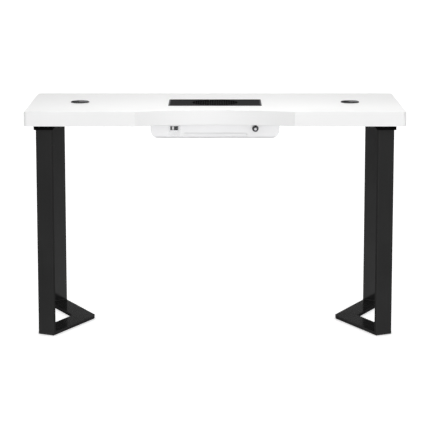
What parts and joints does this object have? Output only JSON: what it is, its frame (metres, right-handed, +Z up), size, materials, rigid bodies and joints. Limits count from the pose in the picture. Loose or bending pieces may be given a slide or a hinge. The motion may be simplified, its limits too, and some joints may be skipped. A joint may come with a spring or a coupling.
{
  "type": "manicure table",
  "caption": "White salon manicure table with an arc cut into its front edge, a built-in dust collector, two cable grommets and black steel V-foot legs.",
  "frame": {"origin": "on the floor under the middle of the table", "axes": "+X to the right of a person sitting at the arc, +Y towards the back edge, +Z up"},
  "size_m": [1.2, 0.5, 0.7272],
  "materials": {
    "top_laminate": "satin white laminate on particle board",
    "edge_band": "satin white edge strip",
    "black_plastic": "moulded, fine grain",
    "charcoal_plastic": "moulded, satin",
    "charcoal_metal": "satin powder coat",
    "black_steel": "high gloss black lacquer",
    "plate_steel": "flat black paint",
    "pad_rubber": "matt",
    "screw_steel": "zinc plated",
    "insert_brass": "machined",
    "filter_paper": "pleated, fibrous",
    "white_plastic": "moulded, soft gloss",
    "grey_metal": "satin powder coat",
    "guard_wire": "nickel plated wire",
    "motor_metal": "satin",
    "bearing_steel": "polished",
    "impeller_plastic": "moulded",
    "black_gloss_plastic": "gloss",
    "clear_silicone": "clear soft silicone",
    "pot_metal": "plated",
    "knob_plastic": "satin",
    "knob_aluminium": "spun",
    "board_resin": "solder mask",
    "board_part_plastic": "moulded",
    "pin_brass": "nickel plated",
    "wire_sheath": "soft PVC"
  },
  "bodies": {
    "table": {"tabletop_board": "top_laminate", "outer_edge_band": "edge_band", "arc_edge_band": "edge_band", "left_grommet_sleeve": "black_plastic", "right_grommet_sleeve": "black_plastic", "left_leg_plate": "plate_steel", "left_front_post": "black_steel", "left_rear_post": "black_steel", "left_foot": "black_steel", "left_foot_pads": "pad_rubber", "right_leg_plate": "plate_steel", "right_front_post": "black_steel", "right_rear_post": "black_steel", "right_foot": "black_steel", "right_foot_pads": "pad_rubber", "leg_screws": "screw_steel", "leg_inserts": "insert_brass", "intake_liner": "charcoal_plastic", "collector_housing": "white_plastic", "housing_screws": "screw_steel", "inlet_plate": "grey_metal", "inlet_plate_screws": "screw_steel", "fan_guard": "guard_wire", "motor_body": "motor_metal", "motor_bearings": "bearing_steel", "motor_screws": "screw_steel", "switch_body": "white_plastic", "switch_boot": "clear_silicone", "speed_control": "pot_metal", "control_nut": "bearing_steel", "control_board": "board_resin", "board_parts": "board_part_plastic", "board_screws": "screw_steel", "power_inlet": "black_plastic", "inlet_pins": "pin_brass", "inlet_screws": "screw_steel", "inner_wires": "wire_sheath"},
    "fan_rotor": {"motor_shaft": "bearing_steel", "impeller": "impeller_plastic"},
    "filter": {"filter_frame": "black_plastic", "filter_media": "filter_paper"},
    "panel": {"intake_panel": "charcoal_metal"},
    "rocker": {"switch_rocker": "black_gloss_plastic"},
    "knob": {"control_shaft": "bearing_steel", "speed_knob": "knob_plastic", "knob_cap": "knob_aluminium", "knob_pointer": "black_gloss_plastic"},
    "left_cap": {"left_grommet_cap": "charcoal_plastic"},
    "right_cap": {"right_grommet_cap": "charcoal_plastic"}
  },
  "joints": [
    {"name": "fan_spin", "type": "hinge", "parent": "table", "child": "fan_rotor", "pos_m": [0, -0.016, 0.65], "axis": [0, 0, 1], "continuous": true},
    {"name": "filter_lift", "type": "slide", "parent": "table", "child": "filter", "axis": [0, 0, 1], "range_m": [0, 0.08]},
    {"name": "panel_lift", "type": "slide", "parent": "filter", "child": "panel", "axis": [0, 0, 1], "range_m": [0, 0.06]},
    {"name": "rocker_tilt", "type": "hinge", "parent": "table", "child": "rocker", "pos_m": [-0.129, -0.179, 0.6635], "axis": [0, 0, 1], "range_deg": [0, 20]},
    {"name": "knob_turn", "type": "hinge", "parent": "table", "child": "knob", "pos_m": [0.128, -0.18, 0.6625], "axis": [0, -1, 0], "range_deg": [-140, 140]},
    {"name": "left_cap_turn", "type": "hinge", "parent": "table", "child": "left_cap", "pos_m": [-0.44, 0, 0.7256], "axis": [0, 0, 1], "continuous": true},
    {"name": "right_cap_turn", "type": "hinge", "parent": "table", "child": "right_cap", "pos_m": [0.44, 0, 0.7256], "axis": [0, 0, 1], "continuous": true}
  ]
}
